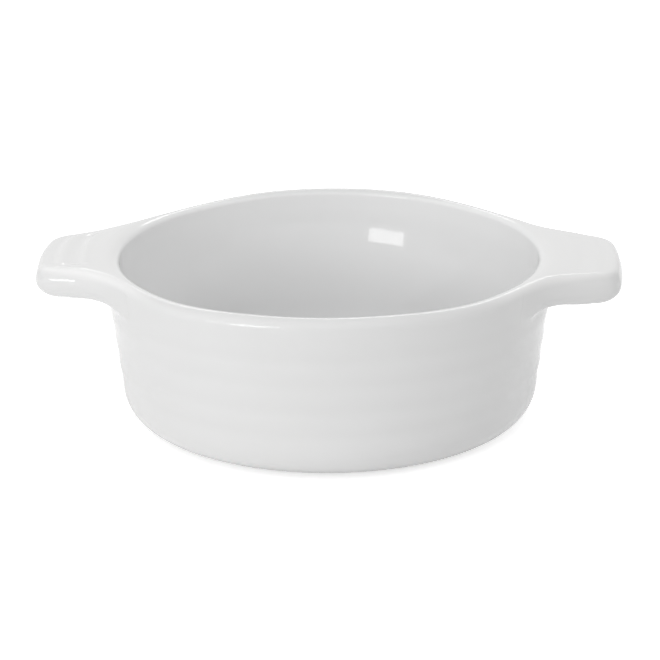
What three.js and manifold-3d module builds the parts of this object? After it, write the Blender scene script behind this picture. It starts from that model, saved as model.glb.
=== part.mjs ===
// Round porcelain baking dish with two lug handles, in millimetres, +Z up.
// It stands on z = 0 on its foot ring, centred on the Z axis, and its handles lie along X.

import * as THREE from 'three';
import { mergeVertices } from 'three/addons/utils/BufferGeometryUtils.js';
import Module from 'manifold-3d';

const { degToRad } = THREE.MathUtils;

// Bowl
const RIM_RADIUS = 73.6;                // top of the rounded lip
const RIM_HEIGHT = 58.5;                // top of the lip, at the handles and midway between them
const RIM_DIP = 0.9;                    // how much lower the lip lies halfway between those places
const LIP_OUTER_RADIUS = 3.4;           // rounding from the top of the lip to the outside
const LIP_INNER_RADIUS = 2;             // rounding from the top of the lip to the inside
const WALL_DRAFT = degToRad(7.4);       // outward lean of the outside wall
const HEEL_RADIUS = 11.4;               // round corner from the wall to the underside
const FLOOR_THICKNESS = 5;
const INSIDE_TOP_DRAFT = degToRad(3);   // outward lean of the inside wall under the lip
const INSIDE_LOW_DRAFT = degToRad(19);  // outward lean of the inside wall above the floor's corner
const INSIDE_BOW_RADIUS = 75;           // hollow curve of the inside wall between the two
const INSIDE_CORNER_RADIUS = 18;        // round corner from the inside wall to the floor

// Throwing rings on the outside wall
const RING_TOP_DROP = 10;               // from the top of the rim down to the first ring
const RING_PITCH = 9.25;
const RING_DEPTH = 0.5;

// Foot ring
const FOOT_RADIUS = 52;                 // middle of the ring
const FOOT_WIDTH = 5;
const FOOT_HEIGHT = 1;
const FOOT_CHAMFER = 0.4;

// Lug handles
const HANDLE_LENGTH = 26.4;             // from the top of the lip to the handle's end
const HANDLE_END_WIDTH = 37;            // between the two sides, carried out to the end
const HANDLE_FLARE = degToRad(22.2);    // each side's angle to the handle's length
const HANDLE_CORNER_RADIUS = 9;         // the two corners of the end, seen from above
const HANDLE_FILLET_RADIUS = 48;        // hollow curve from each side into the wall
const HANDLE_THICKNESS = 11;
const HANDLE_EDGE_RADIUS = 2;           // rounding of the top and bottom edges
const HANDLE_SET_DOWN = 0.2;            // top of the handle below the lip
const HANDLE_DROOP = degToRad(4.8);     // downward slope of the handle, going out

// Ripples on top of each handle, concentric with the bowl
const RIPPLE_END_DISTANCE = 10;         // from the handle's end to the first hollow
const RIPPLE_PITCH = 9;
const RIPPLE_WIDTH = 6;
const RIPPLE_DEPTH = 0.5;

// Bead of luting slip in the corner under each handle
const BEAD_LEG = 4;
const BEAD_EDGE = 0.6;                  // thickness left at the bead's two edges
const BEAD_LENGTH = 44;

// Fit between pieces, and fineness of the round surfaces
const CLEARANCE = 0.3;
const TURN_SEGMENTS = 56;
const ARC_STEPS = 6;
const LIP_STEPS = 4;
const RING_STEPS = 6;
const CURVE_SEGMENTS = 8;
const BEVEL_SEGMENTS = 3;
const MERGE_DISTANCE = 1e-4;            // points closer than this are one point

// Sizes that follow from the driving dimensions
const UNDERSIDE_HEIGHT = FOOT_HEIGHT;
const WALL_TOP_RADIUS = RIM_RADIUS + LIP_OUTER_RADIUS;
const LIP_CENTRE_HEIGHT = RIM_HEIGHT - LIP_OUTER_RADIUS;
const HEEL_CENTRE_HEIGHT = UNDERSIDE_HEIGHT + HEEL_RADIUS;
const FLOOR_HEIGHT = UNDERSIDE_HEIGHT + FLOOR_THICKNESS;
const HANDLE_REACH = RIM_RADIUS + HANDLE_LENGTH;
const HANDLE_TOP = RIM_HEIGHT - HANDLE_SET_DOWN;
const HANDLE_UNDERSIDE = HANDLE_TOP - HANDLE_THICKNESS;

const wasm = await Module();
wasm.setup();

// Turns a closed three.js geometry into a solid that can be cut.
function toSolid(geometry) {
  const bare = geometry.clone();
  bare.deleteAttribute('normal');
  bare.deleteAttribute('uv');
  const merged = mergeVertices(bare, MERGE_DISTANCE);
  const triangles = [];
  const { array } = merged.index;
  for (let i = 0; i < array.length; i += 3) {
    const corners = [array[i], array[i + 1], array[i + 2]];
    if (new Set(corners).size === 3) triangles.push(...corners);
  }
  return new wasm.Manifold(new wasm.Mesh({
    numProp: 3,
    vertProperties: new Float32Array(merged.attributes.position.array),
    triVerts: new Uint32Array(triangles),
  }));
}

// Turns a cut solid back into a three.js geometry.
function toGeometry(solid) {
  const mesh = solid.getMesh();
  const geometry = new THREE.BufferGeometry();
  geometry.setAttribute('position', new THREE.BufferAttribute(mesh.vertProperties, 3));
  geometry.setIndex(new THREE.BufferAttribute(mesh.triVerts, 1));
  geometry.computeVertexNormals();
  return geometry;
}

// Points of an arc in the radius and height plane, ends included.
function arcPoints(centreRadius, centreHeight, radius, from, to, steps = ARC_STEPS) {
  return Array.from({ length: steps + 1 }, (_, i) => {
    const angle = from + ((to - from) * i) / steps;
    return new THREE.Vector2(
      centreRadius + radius * Math.cos(angle),
      centreHeight + radius * Math.sin(angle),
    );
  });
}

// A profile turned about the Z axis.
function turned(points) {
  return new THREE.LatheGeometry(points, TURN_SEGMENTS).rotateX(Math.PI / 2);
}

// Moves every point of a geometry up or down by shift(point).
function lifted(geometry, shift) {
  const { position } = geometry.attributes;
  const point = new THREE.Vector3();
  for (let i = 0; i < position.count; i += 1) {
    point.fromBufferAttribute(position, i);
    position.setZ(i, point.z + shift(point));
  }
  return geometry;
}

// The wall's outside radius at a height, before its rings, grown outwards by a gap.
function wallRadius(height, gap = 0) {
  const atLip = RIM_RADIUS + (LIP_OUTER_RADIUS + gap) / Math.cos(WALL_DRAFT);
  return atLip - (LIP_CENTRE_HEIGHT - height) * Math.tan(WALL_DRAFT);
}

// Points of the outside wall from the heel up to the lip, hollowed by the throwing rings.
function ringPoints(gap) {
  const top = RIM_HEIGHT - RING_TOP_DROP;
  const heelTop = HEEL_CENTRE_HEIGHT - HEEL_RADIUS * Math.sin(WALL_DRAFT);
  const count = Math.max(0, Math.floor((top - heelTop) / RING_PITCH));
  const steps = count * RING_STEPS;
  return Array.from({ length: steps + 1 }, (_, i) => {
    const height = top - ((steps - i) * RING_PITCH) / RING_STEPS;
    const hollow = (1 - Math.cos((2 * Math.PI * i) / RING_STEPS)) / 2;
    return new THREE.Vector2(wallRadius(height, gap) - RING_DEPTH * hollow, height);
  });
}

// The dish's outside from the axis, under the floor and up the wall, to the top of the lip.
function outsideProfile(gap = 0) {
  const heelRadius = HEEL_RADIUS + gap;
  const heelCentre = wallRadius(HEEL_CENTRE_HEIGHT, gap) - heelRadius / Math.cos(WALL_DRAFT);
  return [
    new THREE.Vector2(0, HEEL_CENTRE_HEIGHT - heelRadius),
    ...arcPoints(heelCentre, HEEL_CENTRE_HEIGHT, heelRadius, -Math.PI / 2, -WALL_DRAFT),
    ...ringPoints(gap),
    ...arcPoints(RIM_RADIUS, LIP_CENTRE_HEIGHT, LIP_OUTER_RADIUS + gap, -WALL_DRAFT, Math.PI / 2, LIP_STEPS),
  ];
}

// The dish's inside from below the top of the lip, down the bowed wall and over the floor to the axis.
function insideProfile() {
  const lipHeight = RIM_HEIGHT - LIP_INNER_RADIUS;
  const lipEnd = Math.PI - INSIDE_TOP_DRAFT;
  const lip = arcPoints(RIM_RADIUS, lipHeight, LIP_INNER_RADIUS, Math.PI / 2, lipEnd, LIP_STEPS);
  const { x, y } = lip.at(-1);
  const bowCentre = x - INSIDE_BOW_RADIUS * Math.cos(INSIDE_TOP_DRAFT);
  const bowHeight = y + INSIDE_BOW_RADIUS * Math.sin(INSIDE_TOP_DRAFT);
  const bow = arcPoints(bowCentre, bowHeight, INSIDE_BOW_RADIUS, -INSIDE_TOP_DRAFT, -INSIDE_LOW_DRAFT);
  const bowEnd = bow.at(-1);
  const cornerHeight = FLOOR_HEIGHT + INSIDE_CORNER_RADIUS;
  const cornerTop = cornerHeight - INSIDE_CORNER_RADIUS * Math.sin(INSIDE_LOW_DRAFT);
  const cornerRadius = bowEnd.x - (bowEnd.y - cornerTop) * Math.tan(INSIDE_LOW_DRAFT);
  const cornerCentre = cornerRadius - INSIDE_CORNER_RADIUS * Math.cos(INSIDE_LOW_DRAFT);
  return [
    ...lip.slice(1),
    ...bow.slice(1),
    ...arcPoints(cornerCentre, cornerHeight, INSIDE_CORNER_RADIUS, -INSIDE_LOW_DRAFT, -Math.PI / 2),
    new THREE.Vector2(0, FLOOR_HEIGHT),
  ];
}

// Lets the rim down in four shallow dips, less and less going down the wall.
function dipRim(geometry) {
  return lifted(geometry, ({ x, y, z }) => {
    const heightShare = Math.max(0, (z - HEEL_CENTRE_HEIGHT) / (RIM_HEIGHT - HEEL_CENTRE_HEIGHT));
    const turnShare = (2 * x * y) / Math.max(x * x + y * y, Number.EPSILON);
    return -RIM_DIP * heightShare * turnShare * turnShare;
  });
}

// Lets a handle's points down, the further out the more.
function droop(geometry) {
  return lifted(geometry, ({ x }) => -Math.tan(HANDLE_DROOP) * Math.max(0, Math.abs(x) - RIM_RADIUS));
}

function bowl() {
  return dipRim(turned([...outsideProfile(), ...insideProfile()]));
}

function footRing() {
  const inner = FOOT_RADIUS - FOOT_WIDTH / 2;
  const outer = FOOT_RADIUS + FOOT_WIDTH / 2;
  return turned([
    new THREE.Vector2(inner, FOOT_HEIGHT),
    new THREE.Vector2(inner, FOOT_CHAMFER),
    new THREE.Vector2(inner + FOOT_CHAMFER, 0),
    new THREE.Vector2(outer - FOOT_CHAMFER, 0),
    new THREE.Vector2(outer, FOOT_CHAMFER),
    new THREE.Vector2(outer, FOOT_HEIGHT),
    new THREE.Vector2(inner, FOOT_HEIGHT),
  ]);
}

// The space that the bowl's outside takes up, with room for the fit, and all that lies above its inside.
function bowlSpace() {
  const above = RIM_HEIGHT + HANDLE_THICKNESS;
  const over = [new THREE.Vector2(RIM_RADIUS, above), new THREE.Vector2(0, above)];
  return toSolid(dipRim(turned([...outsideProfile(CLEARANCE), ...over])));
}

// The handle seen from above, pointing along +X. Its root runs on to the dish's axis, and the bowl cuts it off.
function handleOutline() {
  const normal = new THREE.Vector2(Math.sin(HANDLE_FLARE), Math.cos(HANDLE_FLARE));
  const along = new THREE.Vector2(Math.cos(HANDLE_FLARE), -Math.sin(HANDLE_FLARE));
  const sideDistance = normal.dot(new THREE.Vector2(HANDLE_REACH, HANDLE_END_WIDTH / 2));
  // The centre of an arc that lies a distance from the side line and another from the dish's axis
  const arcCentre = (fromSide, fromAxis) => {
    const across = sideDistance + fromSide;
    const down = Math.sqrt(fromAxis * fromAxis - across * across);
    return normal.clone().multiplyScalar(across).addScaledVector(along, down);
  };
  const corner = arcCentre(-HANDLE_CORNER_RADIUS, HANDLE_REACH - HANDLE_CORNER_RADIUS);
  // The hollow curve ends on the side before the corner begins
  const cornerStart = corner.dot(along);
  const room = cornerStart * cornerStart - WALL_TOP_RADIUS * WALL_TOP_RADIUS + sideDistance * sideDistance;
  const filletRadius = Math.min(HANDLE_FILLET_RADIUS, room / (2 * (WALL_TOP_RADIUS - sideDistance)));
  const fillet = arcCentre(filletRadius, WALL_TOP_RADIUS + filletRadius);
  const cornerAngle = corner.angle();
  const sideAngle = Math.PI / 2 - HANDLE_FLARE;
  const rootAngle = Math.PI - fillet.angle();
  const outline = new THREE.Shape();
  outline.absarc(fillet.x, -fillet.y, filletRadius, rootAngle, Math.PI - sideAngle, true);
  outline.absarc(corner.x, -corner.y, HANDLE_CORNER_RADIUS, -sideAngle, -cornerAngle, false);
  outline.absarc(0, 0, HANDLE_REACH, -cornerAngle, cornerAngle, false);
  outline.absarc(corner.x, corner.y, HANDLE_CORNER_RADIUS, cornerAngle, sideAngle, false);
  outline.absarc(fillet.x, fillet.y, filletRadius, sideAngle - Math.PI, -rootAngle, true);
  outline.lineTo(0, 0);
  // Neighbouring arcs share an end, which is kept once
  const points = outline.getPoints(CURVE_SEGMENTS);
  const apart = (point, i) => point.distanceTo(points[(i + 1) % points.length]) > MERGE_DISTANCE;
  return new THREE.Shape(points.filter(apart));
}

// The handle before the bowl and the ripples are cut from it.
function handleBlank() {
  const slab = new THREE.ExtrudeGeometry(handleOutline(), {
    depth: HANDLE_THICKNESS - 2 * HANDLE_EDGE_RADIUS,
    bevelThickness: HANDLE_EDGE_RADIUS,
    bevelSize: HANDLE_EDGE_RADIUS,
    bevelOffset: -HANDLE_EDGE_RADIUS,
    bevelSegments: BEVEL_SEGMENTS,
    curveSegments: CURVE_SEGMENTS,
  });
  slab.translate(0, 0, HANDLE_UNDERSIDE + HANDLE_EDGE_RADIUS);
  return toSolid(droop(slab));
}

// A shallow round hollow that runs all round the dish at handle height.
function rippleTool(radius) {
  const half = RIPPLE_WIDTH / 2;
  const arcRadius = (half * half + RIPPLE_DEPTH * RIPPLE_DEPTH) / (2 * RIPPLE_DEPTH);
  const centreHeight = HANDLE_TOP - RIPPLE_DEPTH + arcRadius;
  const reach = Math.asin(half / arcRadius);
  const hollow = arcPoints(radius, centreHeight, arcRadius, -Math.PI / 2 - reach, -Math.PI / 2 + reach);
  const above = HANDLE_TOP + RIPPLE_WIDTH;
  return toSolid(droop(turned([
    new THREE.Vector2(radius - half, above),
    ...hollow,
    new THREE.Vector2(radius + half, above),
    new THREE.Vector2(radius - half, above),
  ])));
}

function handle(blank, space) {
  const first = HANDLE_REACH - RIPPLE_END_DISTANCE;
  const innermost = WALL_TOP_RADIUS + RIPPLE_WIDTH / 2;
  let solid = blank.subtract(space);
  for (let radius = first; radius >= innermost; radius -= RIPPLE_PITCH) {
    solid = solid.subtract(rippleTool(radius));
  }
  return toGeometry(solid);
}

// The bead fills the corner between the wall and the handle's underside, hollow on its free side.
function slipBead(blank, space) {
  const wall = wallRadius(HANDLE_UNDERSIDE);
  const inside = wall - BEAD_LEG;
  const outside = wall + BEAD_LEG;
  const bottom = HANDLE_UNDERSIDE - BEAD_LEG;
  const above = HANDLE_UNDERSIDE + BEAD_LEG;
  const ring = toSolid(turned([
    new THREE.Vector2(inside, bottom),
    ...arcPoints(outside, bottom, BEAD_LEG - BEAD_EDGE, Math.PI, Math.PI / 2),
    new THREE.Vector2(outside, above),
    new THREE.Vector2(inside, above),
    new THREE.Vector2(inside, bottom),
  ]));
  const stretch = new THREE.BoxGeometry(HANDLE_REACH, BEAD_LENGTH, RIM_HEIGHT);
  stretch.translate(HANDLE_REACH / 2, 0, HANDLE_UNDERSIDE);
  const underHandle = blank.translate([0, 0, -CLEARANCE]);
  return toGeometry(ring.intersect(toSolid(stretch)).subtract(space).subtract(underHandle));
}

const glazedPorcelain = new THREE.MeshStandardMaterial({ color: 0xe8e9e9, roughness: 0.12, metalness: 0 });
const bareBiscuit = new THREE.MeshStandardMaterial({ color: 0xe2dbce, roughness: 0.85, metalness: 0 });

function piece(name, geometry, material, turn = 0) {
  const mesh = new THREE.Mesh(geometry, material);
  mesh.name = name;
  mesh.rotation.z = turn;
  return mesh;
}

const space = bowlSpace();
const blank = handleBlank();
const handleGeometry = handle(blank, space);
const beadGeometry = slipBead(blank, space);

const dish = new THREE.Group();
dish.add(
  piece('bowl', bowl(), glazedPorcelain.clone()),
  piece('foot_ring', footRing(), bareBiscuit),
);
for (const [side, turn] of [['right', 0], ['left', Math.PI]]) {
  dish.add(
    piece(`${side}_handle`, handleGeometry, glazedPorcelain.clone(), turn),
    piece(`${side}_slip_joint`, beadGeometry, glazedPorcelain.clone(), turn),
  );
}

export default dish;
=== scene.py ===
"""Round white porcelain baking dish with two lug handles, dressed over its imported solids.

The dish is glazed all over, apart from the ring that it stands on. The pieces are sized in millimetres,
which become metres where a mesh is made, and finishes and lamps in metres. Angles are in radians, apart
from those of the lamps.
"""

import logging
import math
from dataclasses import dataclass
from enum import Enum
from typing import Sequence, Union

import bmesh
import bpy
from mathutils import Matrix, Vector

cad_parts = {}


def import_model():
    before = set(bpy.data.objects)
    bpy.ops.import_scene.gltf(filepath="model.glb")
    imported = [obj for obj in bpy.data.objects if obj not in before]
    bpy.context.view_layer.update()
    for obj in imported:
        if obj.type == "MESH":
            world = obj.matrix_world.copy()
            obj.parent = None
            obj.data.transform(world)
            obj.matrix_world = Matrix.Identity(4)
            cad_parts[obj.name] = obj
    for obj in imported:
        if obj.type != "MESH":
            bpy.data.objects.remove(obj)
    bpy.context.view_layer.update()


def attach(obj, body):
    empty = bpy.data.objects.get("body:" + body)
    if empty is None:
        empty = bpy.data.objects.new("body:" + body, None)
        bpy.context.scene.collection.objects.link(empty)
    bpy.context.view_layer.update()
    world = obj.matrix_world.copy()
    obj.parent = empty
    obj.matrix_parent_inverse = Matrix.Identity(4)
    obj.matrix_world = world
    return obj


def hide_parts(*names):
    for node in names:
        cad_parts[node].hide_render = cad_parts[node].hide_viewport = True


LOG = logging.getLogger("baking_dish")
MM = 0.001
BODY = "root"
CREASE = math.radians(38.0)
WELD = 2e-7
# Share of a side that the roundings at its two ends may take up
ROOM_SHARE = 0.97
# Millimetres that keep neighbouring points of a section apart
HAIR = 0.03

Section = list[Vector]
Span = tuple[float, float]
Color = tuple[float, float, float, float]
Piece = bpy.types.Object
Socket = bpy.types.NodeSocket
Value = Union[Socket, float, Color]


class Side(Enum):
    """The two sides of the dish that carry a handle, each with its turn about the upright axis."""

    RIGHT = 0.0
    LEFT = math.pi

    @property
    def label(self) -> str:
        """The side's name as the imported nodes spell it."""
        return self.name.lower()

    @property
    def ripple(self) -> float:
        """Height of the ripples on this side's handle, which were smoothed more on the right one."""
        return 0.11 if self is Side.RIGHT else 0.42


class Slot(Enum):
    """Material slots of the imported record."""

    BOWL = "glazed_porcelain"
    HANDLE = "handle_porcelain"
    SLIP = "slip_porcelain"
    BISCUIT = "bare_biscuit"


def smooth_step(low: float, high: float, value: float) -> float:
    """The share between 0 and 1 that eases in and out as a value goes from low to high."""
    share = min(1.0, max(0.0, (value - low) / (high - low)))
    return share * share * (3.0 - 2.0 * share)


def between(low: float, high: float, share: float) -> float:
    """The value that lies a share of the way from low to high."""
    return low + (high - low) * share


def spaced(low: float, high: float, count: int) -> list[float]:
    """Evenly spaced values from low to high, both included."""
    return [between(low, high, i / (count - 1)) for i in range(count)]


def arc(centre: Vector, radius: float, start: float, end: float, steps: int) -> Section:
    """Points of an arc in the plane of radius and height, without its first point."""
    angles = spaced(start, end, steps + 1)[1:]
    return [centre + radius * Vector((math.cos(a), math.sin(a))) for a in angles]


def run(start: Vector, end: Vector, steps: int) -> Section:
    """Evenly spaced points from start to end, without the first one."""
    return [start.lerp(end, (i + 1) / steps) for i in range(steps)]


@dataclass
class Corner:
    """A corner of a section, rounded between two points on its sides.

    The rounding begins a reach before the corner and ends a reach after it.
    """

    point: Vector
    before: float = 0.0
    after: float = 0.0
    run_steps: int = 1
    round_steps: int = 0


def rounding(corner: Corner, start: Vector, end: Vector) -> Section:
    """The curve over one corner, close to a part of an ellipse.

    Args:
        corner: The corner that is rounded.
        start: Point on the incoming side where the curve begins.
        end: Point on the outgoing side where the curve ends.

    Returns:
        Points of the curve, without its first point.
    """
    turn = (corner.point - start).angle(end - corner.point, 0.0)
    pull = 2.0 / 3.0
    if turn > 1e-3:
        pull = 4.0 / 3.0 * math.tan(turn / 4.0) / math.tan(turn / 2.0)
    first = start.lerp(corner.point, pull)
    last = end.lerp(corner.point, pull)
    points = []
    for i in range(corner.round_steps):
        t = (i + 1) / corner.round_steps
        s = 1.0 - t
        early = s * s * s * start + 3 * s * s * t * first
        points.append(early + 3 * s * t * t * last + t * t * t * end)
    return points


def side_point(corner: Corner, other: Corner, reach: float, other_reach: float) -> Vector:
    """Point on a side of a corner where its rounding begins or ends.

    Args:
        corner: The corner.
        other: The corner at the side's other end.
        reach: Reach of the corner's rounding on the side.
        other_reach: Reach of the other rounding on it.

    Returns:
        The point, drawn in where the side has no room for both.
    """
    side = other.point - corner.point
    wish = reach + other_reach
    share = min(1.0, ROOM_SHARE * side.length / wish) if wish > 0.0 else 1.0
    return corner.point + side.normalized() * reach * share


def rounded_path(corners: Sequence[Corner]) -> Section:
    """Joins corners by straight runs and rounds each of them.

    Args:
        corners: The corners in order. The first and last ones have no rounding.

    Returns:
        Points of the path. Their number depends only on the steps of the corners.
    """
    path = [corners[0].point.copy()]
    leave = corners[0].point
    for i in range(1, len(corners)):
        corner, last = corners[i], corners[i - 1]
        start = side_point(corner, last, corner.before, last.after)
        path += run(leave, start, corner.run_steps)
        leave = start
        if corner.round_steps:
            following = corners[i + 1]
            leave = side_point(corner, following, corner.after, following.before)
            path += rounding(corner, start, leave)
    return path


def finish_mesh(bm: bmesh.types.BMesh, name: str) -> Piece:
    """Turns a closed bmesh into an object at the origin, smooth apart from its creases.

    Args:
        bm: The mesh, in metres. It is freed.
        name: Name of the object.

    Returns:
        The linked object.
    """
    bmesh.ops.remove_doubles(bm, verts=bm.verts, dist=WELD)
    bmesh.ops.recalc_face_normals(bm, faces=bm.faces)
    for face in bm.faces:
        face.smooth = True
    for edge in bm.edges:
        edge.smooth = edge.calc_face_angle(0.0) < CREASE
    mesh = bpy.data.meshes.new(name)
    bm.to_mesh(mesh)
    bm.free()
    piece = bpy.data.objects.new(name, mesh)
    bpy.context.scene.collection.objects.link(piece)
    return piece


def spun(section: Section, closed: bool, sweep: float, steps: int) -> bmesh.types.BMesh:
    """Spins one section about the upright axis, with each vertex's station in a layer.

    Args:
        section: Points of radius and height.
        closed: Whether the last point joins the first.
        sweep: Angle of the spin, which is merged at the seam if it is a whole turn.
        steps: Number of steps of the spin.

    Returns:
        The bmesh.
    """
    bm = bmesh.new()
    station = bm.verts.layers.int.new("station")
    verts = []
    for i, point in enumerate(section):
        vert = bm.verts.new((point.x * MM, 0.0, point.y * MM))
        vert[station] = i
        verts.append(vert)
    pairs = list(zip(verts, verts[1:]))
    if closed:
        pairs.append((verts[-1], verts[0]))
    edges = [bm.edges.new(pair) for pair in pairs]
    bmesh.ops.spin(
        bm, geom=verts + edges, cent=(0, 0, 0), axis=(0, 0, 1), dvec=(0, 0, 0),
        angle=sweep, steps=steps, use_merge=sweep == math.tau,
    )
    return bm


def swept_piece(
    name: str, sections: Sequence[Section], angles: Sequence[float], turn: float
) -> Piece:
    """Spins a closed section part of the way round the dish and gives each ring its own section.

    Args:
        name: Name of the object.
        sections: One closed section for each ring, all with the same number of points.
        angles: Angle of each ring about the upright axis.
        turn: Turn of the whole piece about the upright axis.

    Returns:
        The closed piece, with flat ends.
    """
    steps = len(sections) - 1
    sweep = 1.0
    bm = spun(sections[0], True, sweep, steps)
    station = bm.verts.layers.int["station"]
    for vert in bm.verts:
        ring = round(math.atan2(vert.co.y, vert.co.x) / sweep * steps)
        point = sections[ring][vert[station]]
        angle = angles[ring] + turn
        vert.co = MM * Vector((point.x * math.cos(angle), point.x * math.sin(angle), point.y))
    open_edges = [edge for edge in bm.edges if edge.is_boundary]
    bmesh.ops.holes_fill(bm, edges=open_edges, sides=0)
    return finish_mesh(bm, name)


@dataclass
class Bowl:
    """The thrown bowl: floor, bowed inside wall, rounded lip and outside wall with throwing rings."""

    rim_radius: float = 73.56
    rim_height: float = 58.47
    rim_dip: float = 1.05
    lip_outer: float = 3.38
    lip_inner: float = 2.0
    lip_spread: float = 3.0
    lip_spread_end: Span = (math.radians(14.0), math.radians(42.0))
    lip_flatness: float = 0.3
    wall_draft: float = math.radians(7.4)
    heel_radius: float = 11.4
    underside: float = 1.0
    floor: float = 6.0
    inside_top_draft: float = math.radians(3.0)
    inside_low_draft: float = math.radians(19.0)
    inside_bow: float = 75.0
    inside_corner: float = 18.0
    ring_heights: tuple[float, ...] = (43.8, 34.9, 25.3, 16.8)
    ring_half_pitch: float = 4.6
    ring_depth: float = 0.2
    ring_wander: Span = (0.25, 0.15)
    ring_unevenness: float = 0.12
    inside_ring_pitch: float = 7.3
    inside_ring_depth: float = 0.012
    inside_ring_wander: float = 0.6
    inside_rings_begin: Span = (14.0, 22.0)
    inside_rings_end: Span = (46.0, 54.0)
    flat_steps: int = 12
    round_steps: int = 14
    bow_steps: int = 24
    wall_steps: int = 80
    base_steps: int = 10
    columns: int = 360

    @property
    def wall_top(self) -> float:
        """Largest radius of the lip."""
        return self.rim_radius + self.lip_outer

    def spread(self, angle: float) -> float:
        """How far the lip's crest lies outside its usual radius, which it does at the handles."""
        away = math.atan2(abs(math.sin(angle)), abs(math.cos(angle)))
        return self.lip_spread * (1.0 - smooth_step(*self.lip_spread_end, away))

    def crest(self, angle: float) -> float:
        """Radius of the top of the lip."""
        return self.rim_radius + self.spread(angle)

    def lip_rounding(self, angle: float) -> float:
        """Radius of the lip's outer rounding, which shrinks where the crest lies further out."""
        lean = 1.0 / math.cos(self.wall_draft) + math.tan(self.wall_draft)
        return self.lip_outer - self.spread(angle) / lean

    def lip_centre(self, angle: float) -> Vector:
        """Centre of the lip's outer rounding."""
        return Vector((self.crest(angle), self.rim_height - self.lip_rounding(angle)))

    @property
    def heel_centre(self) -> Vector:
        """Centre of the round corner between the wall and the underside."""
        height = self.underside + self.heel_radius
        return Vector((self.wall_radius(height) - self.heel_radius / math.cos(self.wall_draft), height))

    def wall_radius(self, height: float) -> float:
        """Outside radius of the wall at a height, before the rim dips and the rings are cut."""
        at_lip = self.rim_radius + self.lip_outer / math.cos(self.wall_draft)
        return at_lip - (self.rim_height - self.lip_outer - height) * math.tan(self.wall_draft)

    def dip(self, angle: float, height: float) -> float:
        """How far a point of the wall is let down by the four shallow dips of the rim.

        Args:
            angle: Angle about the upright axis, 0 at the right handle.
            height: Height of the point before it is let down.

        Returns:
            The drop, which fades towards the heel.
        """
        low = self.heel_centre.y
        share = max(0.0, (height - low) / (self.rim_height - low))
        return self.rim_dip * share * math.sin(2.0 * angle) ** 4

    def ring(self, angle: float, height: float) -> float:
        """Depth of the throwing rings at a place on the outside wall.

        Args:
            angle: Angle about the upright axis.
            height: Height before the rim is let down.

        Returns:
            The depth, 0 on the crests and on the plain wall.
        """
        once, twice = self.ring_wander
        wander = once * math.sin(angle + 0.7) + twice * math.sin(2.0 * angle + 2.1)
        knots = [self.ring_heights[0] + self.ring_half_pitch, *self.ring_heights]
        knots.append(self.ring_heights[-1] - self.ring_half_pitch)
        phases = [-0.5, *range(len(self.ring_heights)), len(self.ring_heights) - 0.5]
        place = height - wander
        for i in range(len(knots) - 1):
            if knots[i] >= place > knots[i + 1]:
                share = (knots[i] - place) / (knots[i] - knots[i + 1])
                phase = between(phases[i], phases[i + 1], share)
                firmness = 1.0 + self.ring_unevenness * math.sin(3.0 * angle + 0.4 * i)
                return self.ring_depth * firmness * (0.5 + 0.5 * math.cos(math.tau * phase))
        return 0.0

    def inside_section(self, angle: float) -> Section:
        """The inside from the floor's middle up the bowed wall to the top of the lip.

        Args:
            angle: Angle about the upright axis.

        Returns:
            Points of radius and height.
        """
        lip = self.inner_lip(angle)
        high = lip[0]
        lean = Vector((math.cos(self.inside_top_draft), -math.sin(self.inside_top_draft)))
        bow_centre = high - self.inside_bow * lean
        low_lean = Vector((math.cos(self.inside_low_draft), -math.sin(self.inside_low_draft)))
        low = bow_centre + self.inside_bow * low_lean
        corner_height = self.floor + self.inside_corner
        corner_top = corner_height - self.inside_corner * math.sin(self.inside_low_draft)
        corner_radius = low.x - (low.y - corner_top) * math.tan(self.inside_low_draft)
        corner_radius -= self.inside_corner * math.cos(self.inside_low_draft)
        corner = Vector((corner_radius, corner_height))
        section = [Vector((0.0, self.floor))]
        section += run(section[0], Vector((corner.x, self.floor)), self.flat_steps)
        low_end, high_end = -self.inside_low_draft, -self.inside_top_draft
        section += arc(corner, self.inside_corner, -math.pi / 2, low_end, self.flat_steps)
        section += run(section[-1], low, self.flat_steps)
        section += arc(bow_centre, self.inside_bow, low_end, high_end, self.bow_steps)
        return section + lip[1:]

    def inner_lip(self, angle: float) -> Section:
        """The lip's inner side, from the wall up to the crest.

        Args:
            angle: Angle about the upright axis.

        Returns:
            Points of a quarter of an ellipse, which is long and flat where the crest lies further out.
        """
        across = self.lip_inner + self.spread(angle)
        down = self.lip_inner + self.lip_flatness * self.spread(angle)
        start = math.atan(down / across * math.tan(self.inside_top_draft))
        turns = spaced(start, math.pi / 2, self.round_steps + 1)
        middle = Vector((self.crest(angle), self.rim_height - down))
        return [middle + Vector((-across * math.cos(u), down * math.sin(u))) for u in turns]

    def outside_section(self, angle: float) -> Section:
        """The outside from below the top of the lip down the wall and in to the axis.

        Args:
            angle: Angle about the upright axis.

        Returns:
            Points of radius and height.
        """
        lip, radius = self.lip_centre(angle), self.lip_rounding(angle)
        section = arc(lip, radius, math.pi / 2, -self.wall_draft, self.round_steps)
        heel = self.heel_centre
        lean = Vector((math.cos(self.wall_draft), -math.sin(self.wall_draft)))
        section += run(section[-1], heel + self.heel_radius * lean, self.wall_steps)
        section += arc(heel, self.heel_radius, -self.wall_draft, -math.pi / 2, self.round_steps)
        return section + run(section[-1], Vector((0.0, self.underside)), self.base_steps)

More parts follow.
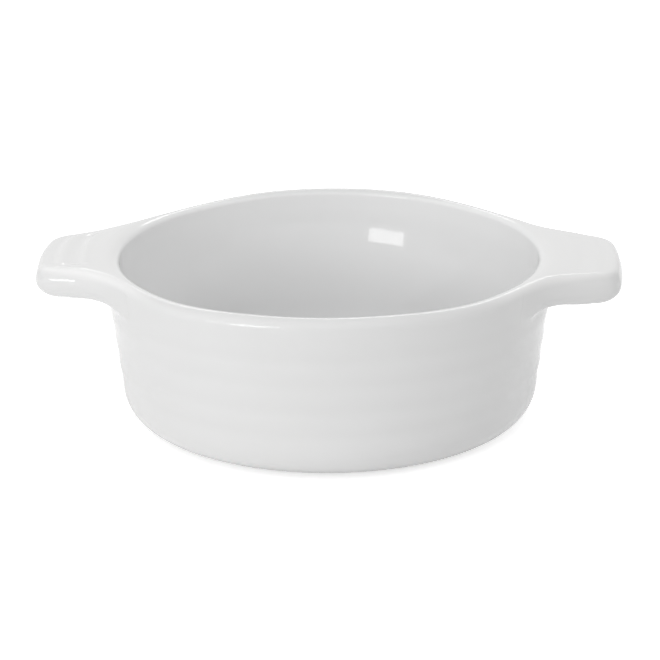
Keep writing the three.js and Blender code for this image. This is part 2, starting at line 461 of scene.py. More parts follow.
    def build(self) -> Piece:
        """Spins the whole section, presses the rings into the wall and lets the rim down.

        Returns:
            The bowl as one closed piece.
        """
        turns = [math.tau * i / self.columns for i in range(self.columns)]
        sections = [self.inside_section(turn) + self.outside_section(turn) for turn in turns]
        inside_count = len(self.inside_section(0.0))
        bm = spun(sections[0], False, math.tau, self.columns)
        station = bm.verts.layers.int["station"]
        for vert in bm.verts:
            if math.hypot(vert.co.x, vert.co.y) < HAIR * MM:
                continue
            column = round(math.atan2(vert.co.y, vert.co.x) / math.tau * self.columns) % self.columns
            angle = turns[column]
            point = sections[column][vert[station]]
            if vert[station] >= inside_count:
                press = self.ring(angle, point.y)
            else:
                fade = smooth_step(*self.inside_rings_begin, point.y)
                fade *= 1.0 - smooth_step(*self.inside_rings_end, point.y)
                place = point.y + self.inside_ring_wander * math.sin(angle)
                wave = math.cos(math.tau * place / self.inside_ring_pitch)
                press = self.inside_ring_depth * fade * wave
            out = point.x - press
            height = point.y - self.dip(angle, point.y)
            vert.co = MM * Vector((out * math.cos(angle), out * math.sin(angle), height))
        return finish_mesh(bm, "thrown_bowl")

    def dress(self, piece: Piece, glaze: "Glaze") -> None:
        """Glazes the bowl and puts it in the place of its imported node.

        Args:
            piece: The bowl as it was built.
            glaze: Its finish.
        """
        piece.data.materials.append(glaze.material())
        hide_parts("bowl")
        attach(piece, BODY)


@dataclass
class LugHandle:
    """A flat lug that runs out of the rim, with a rippled top and rounded edges."""

    bowl: Bowl
    side: Side
    reach: float = 99.95
    end_width: float = 36.8
    flare: float = math.radians(22.0)
    corner_radius: float = 8.5
    fillet_radius: float = 44.0
    thickness: float = 11.05
    droop: float = math.radians(4.9)
    twist: float = math.radians(1.15)
    top_edge: float = 1.5
    end_under_edge: float = 5.8
    side_under_edge: float = 2.6
    root_under_edge: float = 4.4
    face_lean_top: float = 1.5
    face_lean_under: float = 0.9
    face_middle: float = 0.45
    face_belly: float = 0.25
    belly_reach: Span = (0.3, 2.4)
    belly_reach_under: float = 2.2
    shoulder_flat: Span = (0.01, 1.0)
    end_angles: Span = (math.radians(8.0), math.radians(14.0))
    end_edge_from: Span = (5.0, 15.0)
    full_at: float = 5.0
    most_stretch: float = 2.0
    droop_ease: float = 4.0
    twist_start: Span = (76.5, 88.0)
    root_hollow: float = 3.0
    bare_wall_hollow: float = 4.0
    root_sag: float = 2.5
    root_margin: float = math.radians(0.9)
    ripple_crest: float = 90.9
    ripple_pitch: float = 8.7
    ripple_start: Span = (80.5, 85.0)
    ripple_run_out: Span = (3.5, 15.0)
    lip_overlap: float = 0.004
    seat_sink: float = 0.15
    seat_lift: float = 0.3
    seat_top: float = math.radians(82.0)
    seat_steps: int = 28
    seat_top_steps: int = 6
    top_steps: int = 30
    top_edge_steps: int = 10
    face_steps: int = 2
    belly_steps: int = 8
    under_edge_steps: int = 12
    under_steps: int = 14
    hollow_steps: int = 14
    slip_half_angle: float = math.radians(16.3)
    columns: int = 170

    @property
    def side_normal(self) -> Vector:
        """Direction square to the handle's straight side, seen from above."""
        return Vector((math.sin(self.flare), math.cos(self.flare)))

    @property
    def side_distance(self) -> float:
        """Distance of the straight side's line from the dish's axis."""
        return self.side_normal.dot(Vector((self.reach, self.end_width / 2.0)))

    def arc_centre(self, from_side: float, from_axis: float) -> Vector:
        """Centre of an outline arc.

        Args:
            from_side: Distance of the centre outside the side's line.
            from_axis: Distance of the centre from the dish's axis.

        Returns:
            The centre, seen from above.
        """
        across = self.side_distance + from_side
        along = Vector((math.cos(self.flare), -math.sin(self.flare)))
        return self.side_normal * across + along * math.sqrt(from_axis ** 2 - across ** 2)

    @property
    def fillet_centre(self) -> Vector:
        """Centre of the arc that runs the outline into the wall."""
        return self.arc_centre(self.fillet_radius, self.bowl.wall_top + self.fillet_radius)

    @property
    def root_angle(self) -> float:
        """Angle about the axis where the outline runs into the wall."""
        return math.atan2(self.fillet_centre.y, self.fillet_centre.x)

    def outline(self, angle: float) -> float:
        """Radius of the handle's outline, seen from above.

        Args:
            angle: Angle from the handle's middle.

        Returns:
            The radius, which is the wall's outside of the root.
        """
        angle = abs(angle)
        corner = self.arc_centre(-self.corner_radius, self.reach - self.corner_radius)
        fillet = self.fillet_centre
        side_end = corner + self.side_normal * self.corner_radius
        side_start = fillet - self.side_normal * self.fillet_radius
        ray = Vector((math.cos(angle), math.sin(angle)))
        if angle <= math.atan2(corner.y, corner.x):
            return self.reach
        if angle <= math.atan2(side_end.y, side_end.x):
            along = ray.dot(corner)
            return along + math.sqrt(along ** 2 - corner.length_squared + self.corner_radius ** 2)
        if angle <= math.atan2(side_start.y, side_start.x):
            return self.side_distance / ray.dot(self.side_normal)
        if angle < self.root_angle:
            along = ray.dot(fillet)
            chord = along ** 2 - fillet.length_squared + self.fillet_radius ** 2
            return along - math.sqrt(max(0.0, chord))
        return self.bowl.wall_top

    def stretch(self, angle: float) -> float:
        """How much longer a length across the handle's edge is along the radius.

        Args:
            angle: Angle from the handle's middle.

        Returns:
            The factor, 1 at the handle's end and more on its sides.
        """
        step = 1e-3
        slope = (self.outline(angle + step) - self.outline(angle - step)) / (2.0 * step)
        return min(self.most_stretch, math.hypot(1.0, slope / self.outline(angle)))

    def fullness(self, angle: float) -> float:
        """Share of a full handle section at an angle, 0 where the handle runs out into the wall."""
        return smooth_step(0.0, self.full_at, self.outline(angle) - self.bowl.wall_top)

    def top_height(self, angle: float, radius: float) -> float:
        """Height of the handle's top before its ripples and before the rim is let down.

        Args:
            angle: Angle from the handle's middle.
            radius: Distance from the dish's axis.

        Returns:
            The height, which leaves the lip level and then droops.
        """
        out = max(0.0, radius - self.bowl.crest(angle))
        ease = self.droop_ease
        ramp = out * out / (2.0 * ease) if out < ease else out - ease / 2.0
        drop = math.tan(self.droop) * ramp * math.cos(angle)
        return self.bowl.rim_height - self.fullness(angle) * drop

    def ripple(self, radius: float, edge: float, run_out: float) -> float:
        """Height of the ripples on the handle's top, which fade at the lip and run out at the edge.

        Args:
            radius: Distance from the dish's axis.
            edge: Radius of the top's edge.
            run_out: Length over which the ripples run out at the edge.

        Returns:
            The height, above or below the plain top.
        """
        fade = smooth_step(*self.ripple_start, radius)
        fade *= 1.0 - smooth_step(edge - run_out, edge, radius)
        phase = math.tau * (radius - self.ripple_crest) / self.ripple_pitch
        return self.side.ripple * fade * math.cos(phase)

    def ringed_wall(self, angle: float, height: float) -> float:
        """Radius of the ringed wall behind the handle, at a height before the rim is let down."""
        return self.bowl.wall_radius(height) - self.bowl.ring(angle + self.side.value, height)

    def corners(self, angle: float) -> list[Corner]:
        """Corners of the handle's section from the top of the lip to the wall under the handle.

        Args:
            angle: Angle from the handle's middle.

        Returns:
            The corners, with the roundings that the handle has there.
        """
        full = self.fullness(angle)
        edge = self.outline(angle)
        proud = edge - self.bowl.wall_top
        wide = self.stretch(angle)
        end = 1.0 - smooth_step(*self.end_angles, abs(angle))
        lip = self.bowl.rim_height

        def out_to(height: float, inset: float) -> float:
            """Radius of the face at a height, from the plain wall to the full handle."""
            return between(self.bowl.wall_radius(height) + proud, edge - inset * wide, full)

        top_radius = out_to(lip, self.face_lean_top)
        top = Vector((top_radius, self.top_height(angle, top_radius)))
        middle_height = top.y - self.face_middle * self.thickness
        middle = Vector((out_to(middle_height, -self.face_belly), middle_height))
        under_height = top.y - self.thickness
        under = Vector((out_to(under_height, self.face_lean_under), under_height))
        root_height = self.top_height(angle, self.bowl.wall_top) - self.thickness
        root_height -= self.root_sag * (1.0 - full)
        root = Vector((self.bowl.wall_radius(root_height), root_height))
        down = Vector((-math.sin(self.bowl.wall_draft), -math.cos(self.bowl.wall_draft)))
        hollow = between(self.bare_wall_hollow, self.root_hollow, full)
        lip_reach = top_radius - self.bowl.crest(angle) - HAIR
        before = between(lip_reach, self.top_edge * wide, full)
        after = between(lip_reach, self.top_edge, full)
        shoulder_radius = top_radius - before - between(*self.shoulder_flat, full)
        shoulder = Vector((shoulder_radius, self.top_height(angle, shoulder_radius)))
        belly = between(*self.belly_reach, full)
        under_edge = between(self.side_under_edge, self.end_under_edge, end)
        under_edge = between(self.root_under_edge, under_edge, smooth_step(*self.end_edge_from, proud))
        return [
            Corner(Vector((self.bowl.crest(angle), lip))),
            Corner(shoulder, run_steps=self.top_steps),
            Corner(top, before, after, self.face_steps, self.top_edge_steps),
            Corner(middle, belly, self.belly_reach_under, self.face_steps, self.belly_steps),
            Corner(under, under_edge, under_edge * wide, self.face_steps, self.under_edge_steps),
            Corner(root, hollow * between(1.0, wide, full), hollow, self.under_steps, self.hollow_steps),
            Corner(root + down * hollow / ROOM_SHARE, run_steps=0),
        ]

    def root_point(self, angle: float) -> Vector:
        """The corner between the wall and the handle, which the bead of slip fills."""
        return self.corners(angle)[-2].point

    def outer_path(self, angle: float) -> Section:
        """The handle's visible section, with its ripples, set on the ringed wall.

        Args:
            angle: Angle from the handle's middle.

        Returns:
            Points from the top of the lip to the wall under the handle.
        """
        corners = self.corners(angle)
        path = rounded_path(corners)
        edge = corners[1].point.x
        run_out = between(*self.ripple_run_out, self.stretch(angle) - 1.0)
        for i, point in enumerate(path):
            if i <= self.top_steps:
                point.y = self.top_height(angle, point.x) + self.ripple(point.x, edge, run_out)
            elif point.y < corners[3].point.y:
                plain = self.bowl.wall_radius(point.y)
                press = plain - self.ringed_wall(angle, point.y)
                point.x -= press * (1.0 - smooth_step(0.0, self.full_at, point.x - plain))
        path[0].y += self.lip_overlap
        path[-1].x -= HAIR
        return path

    def let_down(self, angle: float, section: Section) -> Section:
        """Lets a section down with the rim and gives it the handle's slight twist from the kiln.

        Args:
            angle: Angle from the handle's middle.
            section: Points of radius and height.

        Returns:
            The moved points.
        """
        moved = []
        for point in section:
            share = smooth_step(*self.twist_start, point.x)
            lift = math.tan(self.twist) * point.x * math.sin(angle) * share
            moved.append(Vector((point.x, point.y - self.bowl.dip(angle, point.y) + lift)))
        return moved

    @property
    def slip_stations(self) -> int:
        """Number of points of the outer path that lie on the bead of slip under the handle."""
        return self.hollow_steps + 1

    def section(self, angle: float, with_slip: bool) -> Section:
        """One closed section of the handle.

        Args:
            angle: Angle from the handle's middle.
            with_slip: Whether the handle itself fills the corner under it at this angle.

        Returns:
            The visible path and, behind it, the seat on the wall and the lip.
        """
        path = self.outer_path(angle)
        if not with_slip:
            first = path[-self.slip_stations].copy()
            path[-self.hollow_steps:] = run(first, self.root_point(angle), self.hollow_steps)
        lip = self.bowl.lip_centre(angle)
        for height in spaced(path[-1].y + self.seat_lift, lip.y, self.seat_steps):
            path.append(Vector((self.ringed_wall(angle, height) - self.seat_sink, height)))
        lip_radius = self.bowl.lip_rounding(angle) - self.seat_sink
        path += arc(lip, lip_radius, 0.0, self.seat_top, self.seat_top_steps)
        return self.let_down(angle, path)

    def rings(self) -> list[tuple[float, bool]]:
        """Angles of the handle's rings, with both ends of the bead of slip doubled.

        Returns:
            Each angle with whether the handle fills the corner under it there.
        """
        limit = self.root_angle - self.root_margin
        slip = self.slip_half_angle
        rings = [(angle, abs(angle) > slip) for angle in spaced(-limit, limit, self.columns)]
        rings += [(-slip, True), (-slip, False), (slip, False), (slip, True)]
        return sorted(rings, key=lambda ring: (ring[0], ring[1] if ring[0] > 0.0 else not ring[1]))

    def build(self) -> Piece:
        """Spins the handle's section and gives each ring its own outline and roundings.

        Returns:
            The handle as one closed piece.
        """
        rings = self.rings()
        sections = [self.section(angle, fills) for angle, fills in rings]
        angles = [angle for angle, _ in rings]
        return swept_piece(f"lug_{self.side.label}", sections, angles, self.side.value)

    def dress(self, piece: Piece, glaze: "Glaze") -> None:
        """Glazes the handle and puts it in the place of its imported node.

        Args:
            piece: The handle as it was built.
            glaze: Its finish.
        """
        piece.data.materials.append(glaze.material())
        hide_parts(f"{self.side.label}_handle")
        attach(piece, BODY)


@dataclass
class SlipJoint:
    """The bead of luting slip in the hollow corner under a handle."""

    handle: LugHandle
    columns: int = 84
    sink: float = 0.1

    def section(self, angle: float) -> Section:
        """One closed section of the bead, its hidden sides sunk into the wall and the handle.

        Args:
            angle: Angle from the handle's middle.

        Returns:
            Points of radius and height.
        """
        bead = self.handle.outer_path(angle)[-self.handle.slip_stations:]
        root = self.handle.root_point(angle) + Vector((-self.sink, self.sink))
        wall_side = bead[-1].lerp(root, 0.5) + Vector((-self.sink, 0.0))
        handle_side = root.lerp(bead[0], 0.5) + Vector((0.0, self.sink))
        return self.handle.let_down(angle, bead + [wall_side, root, handle_side])

    def build(self) -> Piece:
        """Spins the bead's section along the root of the handle.

        Returns:
            The bead as one closed piece.
        """
        limit = self.handle.slip_half_angle
        angles = spaced(-limit, limit, self.columns)
        sections = [self.section(angle) for angle in angles]
        side = self.handle.side
        return swept_piece(f"slip_bead_{side.label}", sections, angles, side.value)

    def dress(self, piece: Piece, glaze: "Glaze") -> None:
        """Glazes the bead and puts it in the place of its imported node.

        Args:
            piece: The bead as it was built.
            glaze: Its finish.
        """
        piece.data.materials.append(glaze.material())
        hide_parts(f"{self.handle.side.label}_slip_joint")
        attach(piece, BODY)


@dataclass
class FootRing:
    """The turned ring that the dish stands on, wiped clean of glaze."""

    radius: float = 52.0
    width: float = 5.0
    height: float = 1.0
    outer_edge: float = 0.45
    inner_edge: float = 0.35
    side_steps: int = 3
    edge_steps: int = 5
    base_steps: int = 8
    columns: int = 288

    def section(self) -> Section:
        """One closed section of the ring, with its two lower edges rounded.

        Returns:
            Points of radius and height.
        """
        inner = self.radius - self.width / 2.0
        outer = self.radius + self.width / 2.0
        lower = ((inner, self.inner_edge, self.side_steps), (outer, self.outer_edge, self.base_steps))
        edges = [Corner(Vector((x, 0.0)), edge, edge, steps, self.edge_steps) for x, edge, steps in lower]
        return rounded_path([
            Corner(Vector((inner, self.height))),
            *edges,
            Corner(Vector((outer, self.height)), run_steps=self.side_steps),
        ])

    def build(self) -> Piece:
        """Spins the ring's section all the way round."""
        return finish_mesh(spun(self.section(), True, math.tau, self.columns), "turned_foot_ring")

    def dress(self, piece: Piece, biscuit: "Biscuit") -> None:
        """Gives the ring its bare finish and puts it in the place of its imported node.

        Args:
            piece: The ring as it was built.
            biscuit: Its finish.
        """
        piece.data.materials.append(biscuit.material())
        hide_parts("foot_ring")
        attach(piece, BODY)


@dataclass(frozen=True)
class Wiring:
    """A node tree with short ways to fill it."""

    tree: bpy.types.NodeTree

    def feed(self, slot: Socket, value: Value) -> None:
        """Links an input to a socket, or sets it to a number or a colour.

        Args:
            slot: The input.
            value: What the input is given.
        """
        if isinstance(value, Socket):
            self.tree.links.new(value, slot)
        else:
            slot.default_value = value

    def fill(self, node: bpy.types.Node, **values: Value) -> bpy.types.Node:
        """Feeds the inputs of a node that are named.

        Args:
            node: The node.
            **values: What its inputs are given, by their labels with _ for a space.

        Returns:
            The same node.
        """
        for label, value in values.items():
            self.feed(node.inputs[label.replace("_", " ").title()], value)
        return node

    def add(self, kind: str, **values: Value) -> bpy.types.Node:
        """Adds a node of a kind and feeds the inputs that are named, as fill does."""
        return self.fill(self.tree.nodes.new(kind), **values)

    def combine(self, operation: str, *values: Value) -> Socket:
        """Adds a math node.

        Args:
            operation: The node's operation.
            *values: What its inputs are given, in their order.

        Returns:
            The socket with the result.
        """
        node = self.add("ShaderNodeMath")
        node.operation = operation
        for slot, value in zip(node.inputs, values):
            self.feed(slot, value)
        return node.outputs["Value"]

    def ramp(
        self, source: Socket, low: float, high: float,
        start: float = 0.0, end: float = 1.0, eased: bool = False,
    ) -> Socket:
        """Maps a value from one range to another.

        Args:
            source: Socket with the value.
            low: Result at start.
            high: Result at end.
            start: Value that gives low.
            end: Value that gives high.
            eased: Whether the map eases in and out.

        Returns:
            The socket with the result.
        """
        node = self.add(
            "ShaderNodeMapRange", value=source, from_min=start, from_max=end, to_min=low, to_max=high,
        )
        node.interpolation_type = "SMOOTHSTEP" if eased else "LINEAR"
        return node.outputs["Result"]

    def mix(self, factor: Socket, first: Value, second: Value) -> Socket:
        """Mixes two colours.

        Args:
            factor: Socket with the mask.
            first: Colour, or socket with the colour, where the mask is 0.
            second: Colour, or socket with the colour, where the mask is 1.

        Returns:
            The socket with the mixed colour.
        """
        node = self.add("ShaderNodeMix")
        node.data_type = "RGBA"
        slots = {slot.identifier: slot for slot in [*node.inputs, *node.outputs]}
        for label, value in (("Factor_Float", factor), ("A_Color", first), ("B_Color", second)):
            self.feed(slots[label], value)
        return slots["Result_Color"]


class Effect(Enum):
    """Effects of the kiln that more than one finish shows, each a node group that is built once."""

    DRIFT = "glaze_drift"
    PEEL = "glaze_peel"
    SPECKS = "iron_specks"

    def group(self) -> bpy.types.ShaderNodeTree:
        """The effect's node group, built at its first use.

        Returns:
            The group, with a Vector input, number inputs and one number output.
        """
        group = bpy.data.node_groups.get(self.value)
        if group:
            return group
        recipe, labels, output = {
            Effect.DRIFT: (wire_drift, ("Scale", "Detail"), "Tone"),
            Effect.PEEL: (wire_peel, ("Coarse Scale", "Fine Scale", "Fine Share"), "Height"),
            Effect.SPECKS: (wire_specks, ("Scale", "Size", "Share"), "Mask"),
        }[self]
        group = bpy.data.node_groups.new(self.value, "ShaderNodeTree")
        group.interface.new_socket("Vector", in_out="INPUT", socket_type="NodeSocketVector")
        for label in labels:
            group.interface.new_socket(label, in_out="INPUT", socket_type="NodeSocketFloat")
        group.interface.new_socket(output, in_out="OUTPUT", socket_type="NodeSocketFloat")
        wiring = Wiring(group)
        result = recipe(wiring, wiring.add("NodeGroupInput").outputs)
        wiring.feed(wiring.add("NodeGroupOutput").inputs[output], result)
        return group

    def put(self, wiring: Wiring, place: Socket, **values: float) -> Socket:
        """Puts the effect into a material.

        Args:
            wiring: Wiring of the material.
            place: Socket with the coordinates.
            **values: Values of the group's inputs, with _ for a space.

        Returns:
            The socket with the effect's result.
        """
        node = wiring.add("ShaderNodeGroup")
        node.node_tree = self.group()
        return wiring.fill(node, vector=place, **values).outputs[0]


def wire_drift(wiring: Wiring, given: bpy.types.NodeOutputs) -> Socket:
    """Slow clouds where the glaze lies a little thicker or thinner.

    Args:
        wiring: Wiring of the group.
        given: Sockets of the group's inputs.

    Returns:
        A tone between 0 and 1.
    """
    noise = wiring.add(
        "ShaderNodeTexNoise", vector=given["Vector"], scale=given["Scale"], detail=given["Detail"],
        roughness=0.45,
    )
    return wiring.ramp(noise.outputs["Fac"], 0.0, 1.0, 0.3, 0.7)


def wire_peel(wiring: Wiring, given: bpy.types.NodeOutputs) -> Socket:
    """The faint uneven skin of a fired glaze, as two sizes of ripple.

    Args:
        wiring: Wiring of the group.
        given: Sockets of the group's inputs.

    Returns:
        A height.
    """
    place = given["Vector"]
    coarse = wiring.add("ShaderNodeTexNoise", vector=place, scale=given["Coarse Scale"], detail=1.0)
    fine = wiring.add("ShaderNodeTexNoise", vector=place, scale=given["Fine Scale"], detail=0.0)
    heights = (fine.outputs["Fac"], given["Fine Share"], coarse.outputs["Fac"])
    return wiring.combine("MULTIPLY_ADD", *heights)


def wire_specks(wiring: Wiring, given: bpy.types.NodeOutputs) -> Socket:
    """Rare pin-head specks, such as iron in the clay leaves under a white glaze.

    Args:
        wiring: Wiring of the group.
        given: Sockets of the group's inputs.

    Returns:
        A mask.
    """
    cells = wiring.add("ShaderNodeTexVoronoi", vector=given["Vector"], scale=given["Scale"])
    near = wiring.combine("LESS_THAN", cells.outputs["Distance"], given["Size"])
    split = wiring.add("ShaderNodeSeparateColor", color=cells.outputs["Color"])
    chosen = wiring.combine("LESS_THAN", split.outputs["Red"], given["Share"])
    return wiring.combine("MULTIPLY", near, chosen)


def new_material(name: str) -> tuple[bpy.types.Material, bpy.types.Node, Wiring]:
    """Makes a material with a Principled shader.

    Args:
        name: Name of the material.

    Returns:
        The material, its shader node and its wiring.
    """
    material = bpy.data.materials.new(name)
    material.use_nodes = True
    return material, material.node_tree.nodes["Principled BSDF"], Wiring(material.node_tree)


@dataclass(frozen=True)
class Glaze:
    """Clear gloss glaze over white porcelain. Its lengths are in metres, as the coordinates are."""

    name: str
    thin: Color = (0.762, 0.762, 0.759, 1.0)
    thick: Color = (0.778, 0.779, 0.779, 1.0)
    # Painted light: the tops of the handles are whitened, as if more light fell on them from above
    painted_top_light: Color = (0.890, 0.889, 0.885, 1.0)
    painted_top_share: float = 0.9
    painted_top_from_middle: Span = (0.050, 0.068)
    painted_top_height: Span = (0.0545, 0.0574)
    # Painted light and shade inside the bowl: a lighter colour near the lip, a darker one towards the
    # floor
    painted_inside_light: Color = (0.905, 0.906, 0.905, 1.0)
    painted_inside_bottom: Span = (0.003, 0.0055)
    painted_inside_top: Span = (0.0568, 0.0583)
    painted_inside_blend: float = 0.0015
    painted_inside_shade: Color = (0.728, 0.730, 0.731, 1.0)
    painted_shade_height: Span = (0.012, 0.052)
    wall_middle: Span = (0.061, 0.074)
    wall_height: Span = (0.0, 0.05)
    speck: Color = (0.25, 0.21, 0.17, 1.0)
    speck_share: float = 0.012
    drift_scale: float = 22.0
    smoothest: float = 0.05
    dullest: float = 0.10
    peel_depth: float = 0.00002
    refraction: float = 1.5

    def material(self) -> bpy.types.Material:
        """The glaze's material, built at its first use.

        Returns:
            A material on object coordinates.
        """
        found = bpy.data.materials.get(self.name)
        if found:
            return found
        material, shader, wiring = new_material(self.name)
        place = wiring.add("ShaderNodeTexCoord").outputs["Object"]
        drift = Effect.DRIFT.put(wiring, place, scale=self.drift_scale, detail=2.0)
        specks = Effect.SPECKS.put(wiring, place, scale=55.0, size=0.016, share=self.speck_share)
        peel = Effect.PEEL.put(wiring, place, coarse_scale=110.0, fine_scale=520.0, fine_share=0.15)
        across, along, height = wiring.add("ShaderNodeSeparateXYZ", vector=place).outputs
        color = wiring.mix(drift, self.thin, self.thick)
        # Painted light: whitens the glaze on the handle tops, away from the middle and up at the lip's
        # height
        aside = wiring.combine("ABSOLUTE", across)
        by_handles = wiring.ramp(aside, 0.0, self.painted_top_share, *self.painted_top_from_middle, eased=True)
        on_top = wiring.ramp(height, 0.0, 1.0, *self.painted_top_height, eased=True)
        color = wiring.mix(wiring.combine("MULTIPLY", by_handles, on_top), color, self.painted_top_light)
        # Painted shade inside the bowl: from painted light near the lip to painted shade towards the
        # floor
        inside = wiring.mix(wiring.ramp(height, 1.0, 0.0, *self.painted_shade_height), self.painted_inside_light, self.painted_inside_shade)
        color = wiring.mix(self.painted_inside_mask(wiring, across, along, height), color, inside)
        bump = wiring.add("ShaderNodeBump", strength=1.0, distance=self.peel_depth, height=peel)
        wiring.fill(
            shader,
            base_color=wiring.mix(specks, color, self.speck),
            roughness=wiring.ramp(drift, self.dullest, self.smoothest),
            normal=bump.outputs["Normal"],
        )
        shader.inputs["IOR"].default_value = self.refraction
        return material

    def painted_inside_mask(self, wiring: Wiring, across: Socket, along: Socket, height: Socket) -> Socket:
        """A mask for the inside of the bowl, which carries painted light near the lip and painted shade
        that darkens it towards the floor.

        Args:
            wiring: Wiring of the material.
            across: Socket with the coordinate from handle to handle.
            along: Socket with the coordinate from front to back.
            height: Socket with the height.

        Returns:
            The socket with the mask, 0 on the outside, on the handles and underneath.
        """
        square = wiring.combine("MULTIPLY", along, along)
        square = wiring.combine("MULTIPLY_ADD", across, across, square)
        middle = wiring.ramp(height, *self.wall_middle, *self.wall_height)
        beyond = wiring.combine("SUBTRACT", wiring.combine("SQRT", square), middle)
        inside = wiring.ramp(beyond, 1.0, 0.0, -self.painted_inside_blend, self.painted_inside_blend, eased=True)
        above_underside = wiring.ramp(height, 0.0, 1.0, *self.painted_inside_bottom)
        below_lip = wiring.ramp(height, 1.0, 0.0, *self.painted_inside_top, eased=True)
        level = wiring.combine("MULTIPLY", above_underside, below_lip)
        return wiring.combine("MULTIPLY", inside, level)


@dataclass(frozen=True)
class Biscuit:
    """Bare fired porcelain, matte and finely grained, a little grey where it has stood."""

    name: str
    clay: Color = (0.76, 0.71, 0.62, 1.0)
    pale: Color = (0.80, 0.77, 0.71, 1.0)
    worn: Color = (0.55, 0.52, 0.47, 1.0)
    worn_share: float = 0.45
    worn_height: Span = (0.0, 0.00012)
    smoothest: float = 0.78
    dullest: float = 0.92
    grain_depth: float = 0.00006

    def material(self) -> bpy.types.Material:
        """The biscuit's material.

        Returns:
            A material on object coordinates.
        """
        material, shader, wiring = new_material(self.name)
        place = wiring.add("ShaderNodeTexCoord").outputs["Object"]
        drift = Effect.DRIFT.put(wiring, place, scale=60.0, detail=4.0)
        specks = Effect.SPECKS.put(wiring, place, scale=160.0, size=0.05, share=0.05)
        grain = Effect.PEEL.put(wiring, place, coarse_scale=1800.0, fine_scale=4200.0, fine_share=0.6)
        height = wiring.add("ShaderNodeSeparateXYZ", vector=place).outputs["Z"]
        stood = wiring.ramp(height, self.worn_share, 0.0, *self.worn_height, eased=True)
        color = wiring.mix(stood, wiring.mix(drift, self.clay, self.pale), self.worn)
        bump = wiring.add("ShaderNodeBump", strength=1.0, distance=self.grain_depth, height=grain)
        wiring.fill(
            shader,
            base_color=wiring.mix(specks, color, self.worn),
            roughness=wiring.ramp(drift, self.dullest, self.smoothest),
            normal=bump.outputs["Normal"],
        )
        return material


def direction(azimuth: float, elevation: float) -> Vector:
    """The direction from the dish to a place around it, with an azimuth of 0 in front."""
    flat = math.cos(elevation)
    return Vector((flat * math.sin(azimuth), -flat * math.cos(azimuth), math.sin(elevation)))


@dataclass(frozen=True)
class SoftBox:
    """A rectangular studio lamp that faces the dish, with its two angles in degrees."""

    name: str
    azimuth: float
    elevation: float
    distance: float
    width: float
    height: float
    radiance: float
    in_gloss: bool = False
    aim: tuple[float, float, float] = (0.0, 0.0, 0.035)

    def hang(self) -> bpy.types.Object:
        """Places the lamp.

        Returns:
            The lamp's object.
        """
        lamp = bpy.data.lights.new(self.name, "AREA")
        lamp.shape = "RECTANGLE"
        lamp.size = self.width
        lamp.size_y = self.height
        lamp.energy = self.radiance * math.pi * self.width * self.height
        obj = bpy.data.objects.new(self.name, lamp)
        away = direction(math.radians(self.azimuth), math.radians(self.elevation))
        obj.location = Vector(self.aim) + self.distance * away
        obj.rotation_euler = away.to_track_quat("Z", "Y").to_euler()
        obj.visible_glossy = self.in_gloss
        bpy.context.scene.collection.objects.link(obj)
        return obj


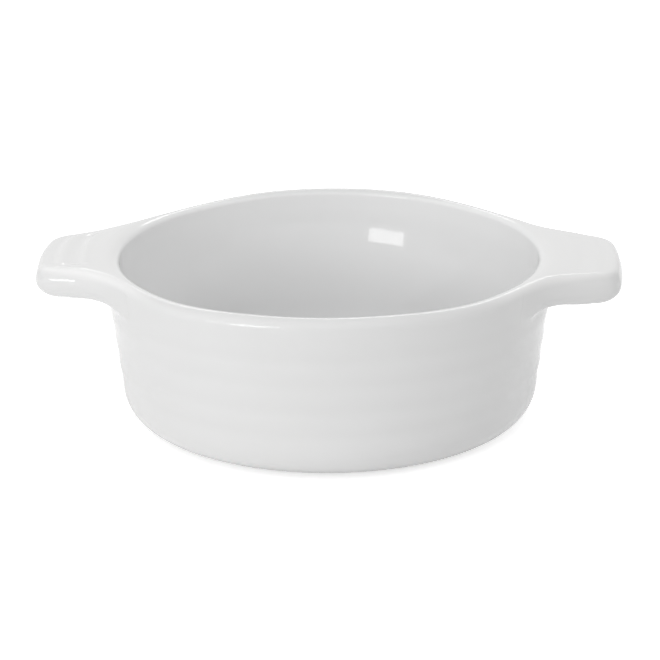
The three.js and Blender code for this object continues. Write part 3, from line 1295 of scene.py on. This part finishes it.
@dataclass
class Studio:
    """White floor and surroundings, soft boxes, and the camera at the photograph's place."""

    camera_turn: float = math.radians(2.8)
    camera_rise: float = math.radians(20.603)
    camera_distance: float = 980.4
    camera_roll: float = math.radians(-0.424)
    focal_pixels: float = 2815.5
    image_size: float = 660.0
    sensor_width: float = 36.0
    clip_start: float = 0.05
    base_pixel: tuple[float, float] = (330.25, 406.30)
    base_height: float = 1.0
    world_light: float = 0.40
    floor_size: float = 6.0
    floor_color: Color = (0.95, 0.95, 0.95, 1.0)
    floor_roughness: float = 0.8
    floor_glow: float = 0.6
    floor_glow_in_gloss: float = 0.32
    lamps: tuple[SoftBox, ...] = (
        SoftBox("key_box", -31.5, 11.5, 1.1, 0.40, 0.12, 5.0, in_gloss=True),
        SoftBox("low_strip", -55.0, 1.3, 0.9, 0.06, 0.10, 7.0, in_gloss=True),
        SoftBox("left_box", -90.0, 62.0, 1.3, 0.7, 0.5, 1.8),
        SoftBox("lip_strip", -36.8, 3.2, 0.9, 0.285, 0.08, 9.5, in_gloss=True),
        SoftBox("front_box", -30.0, 16.0, 1.3, 0.7, 0.5, 1.9),
        SoftBox("right_box", 100.0, 22.0, 1.3, 0.7, 0.5, 1.65),
        SoftBox("back_box", 180.0, 40.0, 1.3, 0.9, 0.2, 3.3, in_gloss=True),
        SoftBox("top_box", 0.0, 65.0, 1.3, 0.7, 0.5, 3.6),
    )

    def set_camera(self) -> bpy.types.Object:
        """Places the camera so that the dish lies in the frame as in the photograph.

        Returns:
            The camera's object, which is the scene's camera.
        """
        base = Vector((0.0, 0.0, self.base_height)) * MM
        away = direction(self.camera_turn, self.camera_rise)
        camera = bpy.data.cameras.new("photo_camera")
        camera.sensor_width = self.sensor_width
        camera.lens = self.focal_pixels / self.image_size * self.sensor_width
        camera.clip_start = self.clip_start
        obj = bpy.data.objects.new("photo_camera", camera)
        right = self.base_pixel[0] - self.image_size / 2.0
        down = self.base_pixel[1] - self.image_size / 2.0
        cos_roll, sin_roll = math.cos(self.camera_roll), math.sin(self.camera_roll)
        tilt = math.atan2(down * cos_roll - right * sin_roll, self.focal_pixels)
        pan = math.atan2(right * cos_roll + down * sin_roll, self.focal_pixels)
        aim = away.to_track_quat("Z", "Y").to_matrix()
        aim = aim @ Matrix.Rotation(pan, 3, "Y") @ Matrix.Rotation(tilt, 3, "X")
        aim = aim @ Matrix.Rotation(self.camera_roll, 3, "Z")
        obj.matrix_world = Matrix.Translation(base + away * self.camera_distance * MM) @ aim.to_4x4()
        bpy.context.scene.collection.objects.link(obj)
        bpy.context.scene.camera = obj
        return obj

    def lay_floor(self) -> bpy.types.Object:
        """Lays the pale floor, which looks white to the camera and keeps the dish's shadow.

        Returns:
            The floor's object.
        """
        bm = bmesh.new()
        bmesh.ops.create_grid(bm, x_segments=1, y_segments=1, size=self.floor_size)
        mesh = bpy.data.meshes.new("studio_floor")
        bm.to_mesh(mesh)
        bm.free()
        floor = bpy.data.objects.new("studio_floor", mesh)
        bpy.context.scene.collection.objects.link(floor)
        material, shader, wiring = new_material("floor_white")
        wiring.fill(shader, base_color=self.floor_color, roughness=self.floor_roughness)
        shader.inputs["Specular IOR Level"].default_value = 0.0
        path = wiring.add("ShaderNodeLightPath").outputs
        straight = wiring.combine("MULTIPLY", path["Is Camera Ray"], self.floor_glow)
        lift = wiring.combine("MULTIPLY_ADD", path["Is Glossy Ray"], self.floor_glow_in_gloss, straight)
        glow = wiring.add("ShaderNodeEmission", strength=lift)
        both = wiring.add("ShaderNodeAddShader")
        wiring.feed(both.inputs[0], shader.outputs["BSDF"])
        wiring.feed(both.inputs[1], glow.outputs["Emission"])
        wiring.feed(wiring.tree.nodes["Material Output"].inputs["Surface"], both.outputs["Shader"])
        mesh.materials.append(material)
        return floor

    def set_world(self) -> None:
        """Surrounds the dish with white where it shows, and with a plain level where it only lights."""
        world = bpy.data.worlds.new("white_studio")
        world.use_nodes = True
        wiring = Wiring(world.node_tree)
        path = wiring.add("ShaderNodeLightPath").outputs
        shows = path["Is Camera Ray"]
        for label in ("Is Glossy Ray", "Is Transmission Ray"):
            shows = wiring.combine("MAXIMUM", shows, path[label])
        strength = wiring.ramp(shows, self.world_light, 1.0)
        background = world.node_tree.nodes["Background"]
        wiring.fill(background, color=(1.0, 1.0, 1.0, 1.0), strength=strength)
        bpy.context.scene.world = world

    def build(self) -> None:
        """Sets up the camera, the floor, the surroundings and the lamps."""
        bpy.context.scene.view_settings.view_transform = "Standard"
        self.set_camera()
        self.lay_floor()
        self.set_world()
        for lamp in self.lamps:
            lamp.hang()


def report_piece(piece: Piece) -> None:
    """Logs a finished piece with its number of triangles."""
    triangles = sum(len(polygon.vertices) - 2 for polygon in piece.data.polygons)
    LOG.info("%s: %d triangles", piece.name, triangles)


def main() -> None:
    """Builds the dish piece by piece, dresses it and sets up the studio."""
    logging.basicConfig(level=logging.INFO, format="%(name)s: %(message)s")
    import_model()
    bowl = Bowl()
    works = [(bowl, Glaze("bowl_glaze")), (FootRing(), Biscuit("foot_biscuit"))]
    for side in Side:
        handle = LugHandle(bowl, side)
        works += [(handle, Glaze("lug_glaze")), (SlipJoint(handle), Glaze("slip_glaze"))]
    for work, finish in works:
        piece = work.build()
        work.dress(piece, finish)
        report_piece(piece)
    Studio().build()


if __name__ == "__main__":
    main()
